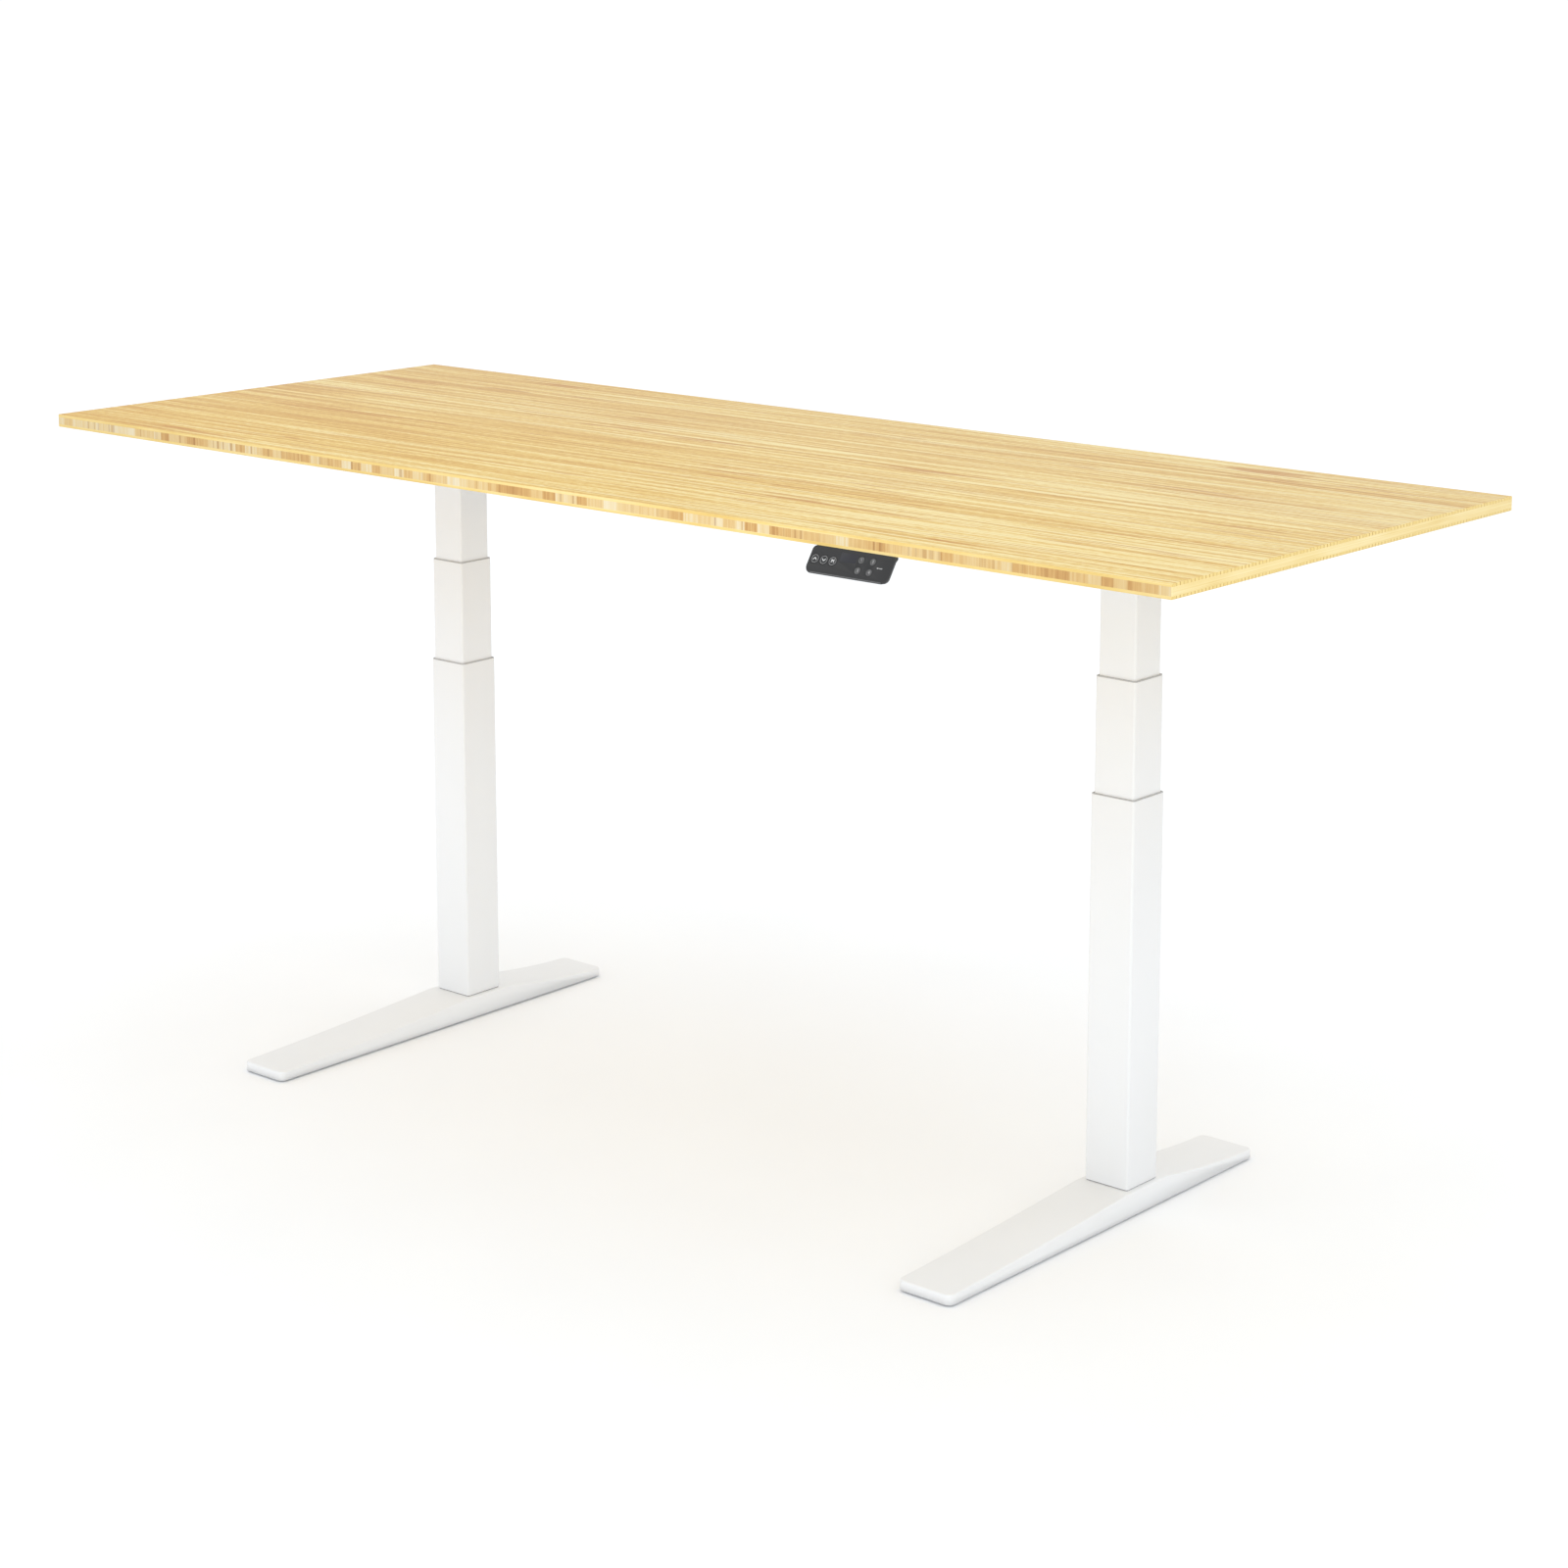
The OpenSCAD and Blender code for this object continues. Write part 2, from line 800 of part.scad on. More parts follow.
// Tray behind the sloping face, a screwed flange and a core for the lead
module keypad_housing() {
    skin = 0.8;
    color(dark_plastic)
        difference() {
            union() {
                on_face()
                    hull() {
                        translate([0, 0, -skin])
                            linear_extrude(skin)
                                face_outline(0, 0);
                        translate([0, 0, -tray_t])
                            linear_extrude(skin)
                                face_outline(tray_draft, tray_draft);
                    }
                across_pad(pad_core, pad_core_w);
                across_pad(pad_neck, pad_w - 2 * pad_neck_edge);
                translate([pad_x - pad_w / 2 + pad_flange_edge, front_y + pad_neck_edge,
                        under_z - pad_flange_t])
                    cube([pad_w - 2 * pad_flange_edge, pad_depth - pad_neck_edge, pad_flange_t]);
            }
            on_face()
                translate([0, 0, -face_t])
                    linear_extrude(5)
                        face_outline(face_side, face_lip);
            across_pad(pad_core_hollow, pad_core_w - 2 * pad_wall);
            on_face()
                translate([0, 0, -pocket_depth])
                    linear_extrude(pocket_depth)
                        face_outline(pocket_edge, pocket_lip);
            for (s = [-1, 1])
                translate([pad_x + s * pad_screw_x, front_y + pad_screw_y, under_z - 30])
                    cylinder(h = 40, r = small_r + 0.3);
            for (s = [-1, 1])
                translate([pad_x + s * pad_screw_x, front_y + pad_screw_y, under_z - 30])
                    cylinder(h = 30 - pad_wall, r = small_head_r + 0.6);
            translate([keypad_lead_route[0][0], front_y + pad_depth, under_z - keypad_lead_route[0][2]])
                rotate([90, 0, 0])
                    cylinder(h = 20, r = lead_d / 2 + clip_gap, center = true);
        }
}

module button_hole(at, r) {
    translate([at[0], at[1], -10])
        cylinder(h = 20, r = r + button_gap);
}

module keypad_face() {
    color(dark_plastic)
        on_face()
            difference() {
                translate([0, 0, -face_t])
                    linear_extrude(face_t)
                        face_outline(face_side, face_lip);
                for (at = [button_up_at, button_down_at, button_memory_at])
                    button_hole(at, big_r);
                for (at = [button_1_at, button_2_at, button_3_at, button_4_at])
                    button_hole(at, small_button_r);
                translate([display_from[0], display_from[1], -10])
                    cube([display_size[0], display_size[1], 20]);
            }
}

module keypad_display() {
    color("black")
        on_face()
            translate([display_from[0], display_from[1], -face_t - 1])
                cube([display_size[0], display_size[1], face_t + 1]);
}

module button(at, r) {
    color("dimgray")
        on_face()
            translate([at[0], at[1], button_proud - button_t])
                cylinder(h = button_t, r = r);
}

// Round lead swept along a route with one ring at each point
function unit(v) = v / norm(v);
function heading(route, i) =
    unit(route[min(i + 1, len(route) - 1)] - route[max(i - 1, 0)]);
function ring(at, way, r) =
    let (side = unit(cross(way, [0, 0, 1])), lift = cross(side, way))
    [for (k = [0:lead_sides - 1])
        at + r * (side * cos(k * 360 / lead_sides) + lift * sin(k * 360 / lead_sides))];

module lead(route) {
    n = len(route);
    line = [for (p = route) [p[0], p[1], -p[2]]];
    points = [for (i = [0:n - 1]) each ring(line[i], heading(line, i), lead_d / 2)];
    walls = [for (i = [0:n - 2], k = [0:lead_sides - 1])
        let (a = i * lead_sides, j = (k + 1) % lead_sides)
        [a + j, a + lead_sides + j, a + lead_sides + k, a + k]];
    first_cap = [for (k = [lead_sides - 1:-1:0]) k];
    last_cap = [for (k = [0:lead_sides - 1]) (n - 1) * lead_sides + k];
    color("black")
        translate([0, desk_y, under_z])
            polyhedron(points, concat([first_cap, last_cap], walls));
}

module motor_lead(side) {
    if (side < 0)
        mirror([1, 0, 0]) lead(motor_lead_route);
    else
        lead(motor_lead_route);
}

module lead_clips() {
    color("black")
        for (p = clip_places)
            translate([p[0], p[1] + desk_y, under_z - lead_drop])
                rotate([0, 0, p[2]])
                    difference() {
                        translate([-clip_l / 2, -clip_w / 2, lead_drop - clip_h])
                            cube([clip_l, clip_w, clip_h]);
                        rotate([0, 90, 0])
                            cylinder(h = 20, r = lead_d / 2 + clip_gap, center = true);
                    }
}

desktop();
foot(-1);  // foot_left
foot(1);  // foot_right
column_plate(-1);  // column_plate_left
column_plate(1);  // column_plate_right
foot_bolts();
lower_tube(-1);  // lower_tube_left
lower_tube(1);  // lower_tube_right
lower_collar(-1);  // lower_collar_left
lower_collar(1);  // lower_collar_right
base_screw(-1);  // base_screw_left
base_screw(1);  // base_screw_right
glide(-1, -1);  // glide_front_left
glide(1, -1);  // glide_front_right
glide(-1, 1);  // glide_back_left
glide(1, 1);  // glide_back_right
mid_tube(-1);  // mid_tube_left
mid_tube(1);  // mid_tube_right
mid_collar(-1);  // mid_collar_left
mid_collar(1);  // mid_collar_right
mid_post(-1);  // mid_post_left
mid_post(1);  // mid_post_right
travel_nut(-1);  // travel_nut_left
travel_nut(1);  // travel_nut_right
drive_tube(-1);  // drive_tube_left
drive_tube(1);  // drive_tube_right
lead_screw(-1);  // lead_screw_left
lead_screw(1);  // lead_screw_right
upper_tube(-1);  // upper_tube_left
upper_tube(1);  // upper_tube_right
column_head(-1);  // column_head_left
column_head(1);  // column_head_right
gearbox(-1);  // gearbox_left
gearbox(1);  // gearbox_right
motor(-1);  // motor_left
motor(1);  // motor_right
side_arm(-1);  // side_arm_left
side_arm(1);  // side_arm_right
rail(-1);  // rail_front
rail(1);  // rail_back
frame_bolts();
wood_screws();
small_screws();
control_box();
control_box_lid();
power_inlet();
keypad_housing();
keypad_face();
keypad_display();
button(button_up_at, big_r);  // button_up
button(button_down_at, big_r);  // button_down
button(button_memory_at, big_r);  // button_memory
button(button_1_at, small_button_r);  // button_1
button(button_2_at, small_button_r);  // button_2
button(button_3_at, small_button_r);  // button_3
button(button_4_at, small_button_r);  // button_4
motor_lead(-1);  // motor_lead_left
motor_lead(1);  // motor_lead_right
lead(keypad_lead_route);  // keypad_lead
lead_clips();
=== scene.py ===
import math

import bmesh
import bpy
from mathutils import Matrix, Vector


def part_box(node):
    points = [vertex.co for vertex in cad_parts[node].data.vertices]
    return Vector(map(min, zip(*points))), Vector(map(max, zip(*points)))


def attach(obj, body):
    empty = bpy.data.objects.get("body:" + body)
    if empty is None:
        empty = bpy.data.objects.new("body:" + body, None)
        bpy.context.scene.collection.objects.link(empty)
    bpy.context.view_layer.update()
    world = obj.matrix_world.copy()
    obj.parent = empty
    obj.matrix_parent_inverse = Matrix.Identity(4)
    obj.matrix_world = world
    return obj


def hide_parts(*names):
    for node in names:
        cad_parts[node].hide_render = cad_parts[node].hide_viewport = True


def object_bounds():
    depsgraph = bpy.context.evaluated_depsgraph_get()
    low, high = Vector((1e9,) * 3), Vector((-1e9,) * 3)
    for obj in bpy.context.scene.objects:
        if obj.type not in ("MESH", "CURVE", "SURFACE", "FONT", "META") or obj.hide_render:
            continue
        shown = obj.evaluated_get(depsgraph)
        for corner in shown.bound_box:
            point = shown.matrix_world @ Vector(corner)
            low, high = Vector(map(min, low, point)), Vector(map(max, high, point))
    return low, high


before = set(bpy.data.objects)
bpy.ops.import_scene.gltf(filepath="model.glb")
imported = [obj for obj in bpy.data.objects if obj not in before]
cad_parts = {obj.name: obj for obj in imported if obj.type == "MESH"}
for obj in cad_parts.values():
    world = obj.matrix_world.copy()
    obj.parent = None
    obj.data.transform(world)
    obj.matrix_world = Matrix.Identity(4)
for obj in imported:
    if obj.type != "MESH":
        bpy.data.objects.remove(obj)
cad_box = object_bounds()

# ---------------------------------------------------------------- Studio
# A seamless pale floor under an even white sky, with a broad soft key lamp on
# the user's side, a low fill and a soft spot that lifts the shade under the
# top. The camera looks down on the right end.

scene = bpy.context.scene
scene.view_settings.view_transform = "Standard"

eye = Vector((3.1077, -3.4644, 1.7025))
eye_turn = math.radians(40.86)
eye_dip = math.radians(9.74)
camera = bpy.data.objects.new("camera", bpy.data.cameras.new("camera"))
camera.data.lens = 77.0
camera.data.sensor_width = 36.0
camera.data.shift_y = -0.18
camera.data.clip_end = 200.0
camera.location = eye
back = Vector((
    math.sin(eye_turn) * math.cos(eye_dip),
    -math.cos(eye_turn) * math.cos(eye_dip),
    math.sin(eye_dip),
))
camera.rotation_mode = "QUATERNION"
camera.rotation_quaternion = (-back).to_track_quat("-Z", "Y")
scene.collection.objects.link(camera)
scene.camera = camera

sky = bpy.data.worlds.new("sky")
sky.use_nodes = True
sky.node_tree.nodes["Background"].inputs["Color"].default_value = (0.975, 0.99, 1.0, 1.0)
sky.node_tree.nodes["Background"].inputs["Strength"].default_value = 1.06
scene.world = sky


def lamp(name, strength, height, side, softness, casts_shadow):
    """A distant lamp at a height above the horizon, turned sideways from the front."""
    light = bpy.data.objects.new(name, bpy.data.lights.new(name, "SUN"))
    light.data.energy = strength
    light.data.color = (0.97, 0.985, 1.0)
    light.data.angle = math.radians(softness)
    light.data.use_shadow = casts_shadow
    light.rotation_euler = (math.radians(90 - height), 0.0, math.radians(side))
    scene.collection.objects.link(light)


lamp("key", 0.38, 38, 32, 60, False)
lamp("fill", 0.24, 5, 30, 20, True)

bounce = bpy.data.objects.new("under_top", bpy.data.lights.new("under_top", "SPOT"))
bounce.data.energy = 80
bounce.data.spot_size = math.radians(34)
bounce.data.spot_blend = 1.0
bounce.data.shadow_soft_size = 0.5
bounce.location = (1.0, -3.2, 0.3)
bounce_target = Vector((0.1, 0.05, 1.0))
bounce.rotation_euler = (bounce_target - bounce.location).to_track_quat("-Z", "Y").to_euler()
scene.collection.objects.link(bounce)


def finish(name, roughness, metallic=0.0):
    """A new material, its node tree, its shader and the object's own coordinates."""
    material = bpy.data.materials.new(name)
    material.use_nodes = True
    tree = material.node_tree
    shader = tree.nodes["Principled BSDF"]
    shader.inputs["Roughness"].default_value = roughness
    shader.inputs["Metallic"].default_value = metallic
    place = tree.nodes.new("ShaderNodeTexCoord").outputs["Object"]
    return material, tree, shader, place


def grain(tree, place, scale, detail=2.0, sharpness=0.5):
    """Noise with its own scale along each axis, in waves per metre."""
    stretch = tree.nodes.new("ShaderNodeMapping")
    stretch.inputs["Scale"].default_value = scale
    tree.links.new(place, stretch.inputs["Vector"])
    noise = tree.nodes.new("ShaderNodeTexNoise")
    noise.inputs["Scale"].default_value = 1.0
    noise.inputs["Detail"].default_value = detail
    noise.inputs["Roughness"].default_value = sharpness
    tree.links.new(stretch.outputs["Vector"], noise.inputs["Vector"])
    return noise.outputs["Fac"]


def tones(tree, value, *stops):
    """Colours spread over a value, each stop a position and a colour."""
    ramp = tree.nodes.new("ShaderNodeValToRGB")
    marks = ramp.color_ramp.elements
    while len(marks) < len(stops):
        marks.new(0.5)
    for mark, (position, colour) in zip(marks, stops):
        mark.position = position
        mark.color = (*colour, 1.0)
    tree.links.new(value, ramp.inputs["Fac"])
    return ramp.outputs["Color"]


def relief(tree, shader, height, depth):
    """Fine relief of the surface, its depth in metres."""
    bump = tree.nodes.new("ShaderNodeBump")
    bump.inputs["Strength"].default_value = 0.6
    bump.inputs["Distance"].default_value = depth
    tree.links.new(height, bump.inputs["Height"])
    tree.links.new(bump.outputs["Normal"], shader.inputs["Normal"])


def mottled(name, roughness, waves, depth, *stops, detail=2.0, metallic=0.0):
    """A finish whose colour, and relief if it has a depth, follow the same even noise."""
    material, tree, shader, place = finish(name, roughness, metallic)
    speck = grain(tree, place, (waves, waves, waves), detail)
    tree.links.new(tones(tree, speck, *stops), shader.inputs["Base Color"])
    if depth:
        relief(tree, shader, speck, depth)
    return material


paper = mottled("paper", 0.9, 3.0, 0.0, (0.3, (0.94, 0.95, 0.965)), (0.7, (0.955, 0.965, 0.98)))
paper.node_tree.nodes["Principled BSDF"].inputs["Specular IOR Level"].default_value = 0.0
floor_reach = 60.0
floor_mesh = bpy.data.meshes.new("floor")
sweep = bmesh.new()
bmesh.ops.create_grid(sweep, x_segments=1, y_segments=1, size=floor_reach)
sweep.to_mesh(floor_mesh)
sweep.free()
floor = bpy.data.objects.new("floor", floor_mesh)
floor.location.z = cad_box[0].z
floor_mesh.materials.append(paper)
scene.collection.objects.link(floor)

# ---------------------------------------------------------------- Feet
# Each foot is pressed from steel plate as a long open-bottomed trough, highest
# under its column, with a rolled upper edge all round. It is powder coated
# white and bolted to the plate of its column from below.


def powder_coat():
    material, tree, shader, place = finish("powder_coat", 0.42)
    drift = grain(tree, place, (4.0, 4.0, 2.5), 3.0)
    colour = tones(tree, drift, (0.3, (0.80, 0.806, 0.812)), (0.7, (0.825, 0.831, 0.837)))
    tree.links.new(colour, shader.inputs["Base Color"])
    gloss = tree.nodes.new("ShaderNodeMapRange")
    gloss.inputs["To Min"].default_value = 0.36
    gloss.inputs["To Max"].default_value = 0.5
    tree.links.new(grain(tree, place, (60.0, 60.0, 60.0)), gloss.inputs["Value"])
    tree.links.new(gloss.outputs["Result"], shader.inputs["Roughness"])
    relief(tree, shader, grain(tree, place, (650.0, 650.0, 650.0), 1.0), 0.00006)
    return material


coat = powder_coat()


def keep(bm, name, body, stands_for, slot, *materials, sharp=30):
    """Makes the finished piece from its mesh and says what it rides on and replaces."""
    mesh = bpy.data.meshes.new(name)
    bm.to_mesh(mesh)
    bm.free()
    mesh.polygons.foreach_set("use_smooth", [True] * len(mesh.polygons))
    mesh.set_sharp_from_angle(angle=math.radians(sharp))
    for material in materials:
        mesh.materials.append(material)
    piece = bpy.data.objects.new(name, mesh)
    scene.collection.objects.link(piece)
    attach(piece, body)
    if stands_for:
        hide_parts(*stands_for)
    return piece


def wall(piece, thickness):
    """Gives an open skin its thickness, inwards."""
    shell = piece.modifiers.new("wall", "SOLIDIFY")
    shell.thickness = thickness
    shell.offset = -1.0


def round_edges(bm, edges, offset, segments):
    bmesh.ops.bevel(bm, geom=edges, offset=offset, segments=segments, affect="EDGES",
                    profile=0.5, material=-1, clamp_overlap=True)


def upright(edge):
    rise = edge.verts[0].co - edge.verts[1].co
    return abs(rise.x) + abs(rise.y) < 1e-6 < abs(rise.z)


def foot(side):
    low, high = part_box("foot_" + side)
    tube_low, tube_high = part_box("lower_tube_" + side)
    plate, corner, rolled_edge = 0.003, 0.010, 0.0022
    flat_margin = 0.013
    front_end, front_bend = 0.0165, 1.3
    back_end, back_bend = 0.0155, 1.7
    steps = 14
    outline = [(low.y, low.z)]
    for step in range(steps + 1):
        t = step / steps
        outline.append((low.y + t * (tube_low.y - flat_margin - low.y),
                        front_end + (high.z - front_end) * t ** front_bend))
    for step in range(steps, -1, -1):
        t = step / steps
        outline.append((high.y - t * (high.y - tube_high.y - flat_margin),
                        back_end + (high.z - back_end) * t ** back_bend))
    outline.append((high.y, low.z))
    bm = bmesh.new()
    corners = [bm.verts.new((low.x, y, z)) for y, z in outline]
    side_face = bm.faces.new(corners)
    grown = bmesh.ops.extrude_face_region(bm, geom=[side_face])["geom"]
    bmesh.ops.translate(bm, vec=(high.x - low.x, 0.0, 0.0),
                        verts=[v for v in grown if isinstance(v, bmesh.types.BMVert)])
    bmesh.ops.recalc_face_normals(bm, faces=bm.faces)
    round_edges(bm, [e for e in bm.edges if upright(e)], corner, 6)
    bm.normal_update()
    bmesh.ops.delete(bm, geom=[f for f in bm.faces if f.normal.z < -0.9], context="FACES_ONLY")
    rim = [e for e in bm.edges if len(e.link_faces) == 2
           and max(f.normal.z for f in e.link_faces) > 0.9
           and min(f.normal.z for f in e.link_faces) < 0.5]
    round_edges(bm, rim, rolled_edge, 4)
    piece = keep(bm, f"foot_{side}_plate", "base", [f"foot_{side}"], "powder_coat", coat)
    wall(piece, plate)


for side in ("left", "right"):
    foot(side)

# ---------------------------------------------------------------- Glides
# Four levelling glides screw up into bosses welded under the feet's roofs.
# Each is a hard rubber pad moulded round the head of a zinc-plated stud.


def zinc():
    material, tree, shader, place = finish("zinc", 0.34, 1.0)
    spangle = grain(tree, place, (240.0, 240.0, 240.0), 4.0)
    colour = tones(tree, spangle, (0.3, (0.56, 0.57, 0.59)), (0.7, (0.74, 0.745, 0.75)))
    tree.links.new(colour, shader.inputs["Base Color"])
    relief(tree, shader, grain(tree, place, (40.0, 40.0, 900.0)), 0.00004)
    return material


glide_rubber = mottled("rubber", 0.7, 900.0, 0.0001, (0.35, (0.018, 0.018, 0.019)),
                       (0.7, (0.035, 0.035, 0.036)), detail=3.0)
zinc_plate = zinc()


def turned(bm, profile, centre, material_index=0, steps=32):
    """Adds a profile of radius and height pairs, spun about an upright axis, to a mesh."""
    verts = [bm.verts.new(centre + Vector((r, 0.0, z))) for r, z in profile]
    edges = [bm.edges.new(pair) for pair in zip(verts, verts[1:])]
    before = set(bm.faces)
    bmesh.ops.spin(bm, geom=verts + edges, cent=centre, axis=(0, 0, 1), angle=math.tau,
                   steps=steps, use_merge=True)
    bmesh.ops.remove_doubles(bm, verts=bm.verts, dist=1e-6)
    made = [f for f in bm.faces if f not in before]
    for face in made:
        face.material_index = material_index
    bmesh.ops.recalc_face_normals(bm, faces=made)


def glide(end, side):
    node = f"glide_{end}_{side}"
    low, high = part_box(node)
    centre = Vector(((low.x + high.x) / 2, (low.y + high.y) / 2, low.z))
    rise = high.z - low.z
    pad_r, pad_h = (high.x - low.x) / 2, 0.003
    stud_r, stud_foot = 0.0039, 0.0025
    bm = bmesh.new()
    turned(bm, [(0.0, 0.0), (pad_r - 0.002, 0.0), (pad_r, 0.0008), (pad_r, 0.0022),
                (pad_r - 0.0012, pad_h), (0.008, pad_h), (0.0, pad_h)], centre)
    turned(bm, [(0.0, stud_foot), (stud_r, stud_foot), (stud_r, rise - 0.0008), (0.003, rise),
                (0.0, rise)], centre, 1)
    keep(bm, node + "_pad", node, [node], "glide_rubber", glide_rubber, zinc_plate)


def glide_boss(end, side):
    """The boss under a foot's roof that a glide's stud screws into."""
    low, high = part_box(f"glide_{end}_{side}")
    centre = Vector(((low.x + high.x) / 2, (low.y + high.y) / 2, 0.0))
    boss_r, bore_r = 0.008, 0.0042
    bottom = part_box("foot_" + side)[0].z + 0.001
    top = high.z + 0.0025
    bm = bmesh.new()
    turned(bm, [(bore_r, bottom), (boss_r, bottom), (boss_r, top), (bore_r, top),
                (bore_r, bottom)], centre)
    keep(bm, f"glide_boss_{end}_{side}", "base", [], "powder_coat", coat)


for end in ("front", "back"):
    for side in ("left", "right"):
        glide(end, side)
        glide_boss(end, side)

# ---------------------------------------------------------------- Columns
# Each column is three square steel tubes that slide in one another, drawn
# with small round corners and powder coated like the feet. Their mouths are
# cut square and lightly deburred.


def block(low, high):
    """A square-edged block between two corners."""
    bm = bmesh.new()
    bmesh.ops.create_cube(bm, size=1.0)
    bmesh.ops.scale(bm, vec=high - low, verts=bm.verts)
    bmesh.ops.translate(bm, vec=(high + low) / 2, verts=bm.verts)
    return bm


def square_tube(node, body, wall_thickness):
    corner = 0.004
    bm = block(*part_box(node))
    bmesh.ops.delete(bm, geom=[f for f in bm.faces if abs(f.normal.z) > 0.9],
                     context="FACES_ONLY")
    round_edges(bm, [e for e in bm.edges if upright(e)], corner, 8)
    piece = keep(bm, node + "_steel", body, [node], "powder_coat", coat, sharp=50)
    wall(piece, wall_thickness)
    deburr = piece.modifiers.new("deburr", "BEVEL")
    deburr.width = 0.0004
    deburr.segments = 2
    deburr.limit_method = "ANGLE"
    deburr.angle_limit = math.radians(60)


for side in ("left", "right"):
    square_tube("lower_tube_" + side, "base", 0.0015)
    square_tube("mid_tube_" + side, side + "_mid", 0.0015)
    square_tube("upper_tube_" + side, "lift", 0.002)

# ---------------------------------------------------------------- Guides
# Pale grey acetal collars line the mouths of the outer tubes and keep the
# stages from rubbing. Only their thin rims show, as a faint line at each joint.


def dress(material, *nodes):
    """Gives CAD nodes that already have their true shape a finish."""
    for node in nodes:
        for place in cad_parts[node].material_slots:
            place.material = material


guide_plastic = mottled("acetal", 0.5, 500.0, 0.0, (0.3, (0.42, 0.42, 0.425)),
                        (0.7, (0.47, 0.47, 0.475)), detail=3.0)
for side in ("left", "right"):
    dress(guide_plastic, "lower_collar_" + side, "mid_collar_" + side)

# ---------------------------------------------------------------- Drives
# In each column a lead screw turns in a nut on the middle stage, and a drive
# tube turns with it on the fixed base screw, all plain turned steel and bronze.
# The desk's bolts and screws are zinc plated.


def turned_steel():
    material, tree, shader, place = finish("turned_steel", 0.28, 1.0)
    tool_marks = grain(tree, place, (20.0, 20.0, 2500.0), 2.0)
    colour = tones(tree, tool_marks, (0.3, (0.5, 0.5, 0.51)), (0.7, (0.68, 0.68, 0.68)))
    tree.links.new(colour, shader.inputs["Base Color"])
    relief(tree, shader, tool_marks, 0.00003)
    return material


def bronze():
    material, tree, shader, place = finish("bronze", 0.33, 1.0)
    stain = grain(tree, place, (90.0, 90.0, 90.0), 4.0)
    colour = tones(tree, stain, (0.3, (0.42, 0.27, 0.11)), (0.7, (0.62, 0.43, 0.2)))
    tree.links.new(colour, shader.inputs["Base Color"])
    relief(tree, shader, grain(tree, place, (20.0, 20.0, 2200.0)), 0.00003)
    return material


spindle_steel = turned_steel()
nut_bronze = bronze()
for side in ("left", "right"):
    dress(spindle_steel, "base_screw_" + side, "mid_post_" + side, "lead_screw_" + side)
    dress(nut_bronze, "travel_nut_" + side, "drive_tube_" + side)
dress(zinc_plate, "foot_bolts", "frame_bolts", "wood_screws", "small_screws")

# ---------------------------------------------------------------- Under-frame
# Folded steel heads sit on the columns. Two box-section rails join them, and
# an inverted channel on the outside of each carries the top from front to
# back. All of it is powder coated, with the folds' small natural radii.


def softened(node, radius, segments=2):
    """A merged copy of a CAD node's mesh with its sharp edges eased."""
    flat_angle, sharp_angle = math.radians(1), math.radians(30)
    bm = bmesh.new()
    bm.from_mesh(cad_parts[node].data)
    bmesh.ops.remove_doubles(bm, verts=bm.verts, dist=1e-6)
    bmesh.ops.dissolve_limit(bm, angle_limit=flat_angle, verts=bm.verts, edges=bm.edges)
    edges = [e for e in bm.edges
             if len(e.link_faces) == 2 and e.calc_face_angle(0.0) > sharp_angle]
    round_edges(bm, edges, radius, segments)
    return bm


fold_r = 0.0006
for side in ("left", "right"):
    for part in ("column_head_", "side_arm_"):
        keep(softened(part + side, fold_r), f"{part}{side}_steel", "lift", [part + side],
             "powder_coat", coat)
dress(coat, "rail_front", "rail_back")

# ---------------------------------------------------------------- Gear motors
# A grey die-cast gearbox on each column's head turns the lead screw. The
# motor flanged to its inboard side is a rolled steel can, painted black like
# the plates at the columns' feet.


casting = mottled("die_cast", 0.5, 300.0, 0.00015, (0.3, (0.13, 0.135, 0.14)),
                  (0.7, (0.2, 0.205, 0.21)), detail=4.0, metallic=0.6)
black_paint = mottled("motor_paint", 0.36, 500.0, 0.00004, (0.3, (0.014, 0.014, 0.015)),
                      (0.7, (0.026, 0.026, 0.027)))


def motor(side):
    low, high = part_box("motor_" + side)
    inboard = 1.0 if side == "left" else -1.0
    flange = low.x if side == "left" else high.x
    r, length = (high.z - low.z) / 2, high.x - low.x
    centre = Vector((flange, (low.y + high.y) / 2, (low.z + high.z) / 2))
    front_cap = [(0.0, 0.0), (r - 0.004, 0.0), (r - 0.001, 0.001), (r - 0.001, 0.006),
                 (r - 0.0025, 0.0065), (r - 0.0025, 0.0085)]
    can = [(r - 0.0005, 0.009), (r, 0.0105), (r, length - 0.014), (r - 0.001, length - 0.0125)]
    rear_cap = [(r - 0.0035, length - 0.012), (r - 0.0035, length - 0.0065),
                (r - 0.006, length - 0.005), (0.010, length - 0.005), (0.009, length - 0.001),
                (0.008, length), (0.0, length)]
    bm = bmesh.new()
    verts = [bm.verts.new(centre + Vector((inboard * inward, 0.0, radius)))
             for radius, inward in front_cap + can + rear_cap]
    edges = [bm.edges.new(pair) for pair in zip(verts, verts[1:])]
    bmesh.ops.spin(bm, geom=verts + edges, cent=centre, axis=(1, 0, 0), angle=math.tau,
                   steps=48, use_merge=True)
    bmesh.ops.remove_doubles(bm, verts=bm.verts, dist=1e-6)
    bmesh.ops.recalc_face_normals(bm, faces=bm.faces)
    keep(bm, f"motor_{side}_can", "lift", ["motor_" + side], "motor_paint", black_paint)


for side in ("left", "right"):
    keep(softened("gearbox_" + side, 0.0015, 3), f"gearbox_{side}_casting", "lift",
         ["gearbox_" + side], "gearbox_alloy", casting)
    motor(side)
    dress(black_paint, "column_plate_" + side)

# ---------------------------------------------------------------- Desktop
# The top is cross-laminated bamboo: two thin faces of narrow strips that run
# along the desk, and a core of wider strips that run from front to back, so
# their cut ends show in the long edges. The whole is sanded and lacquered.


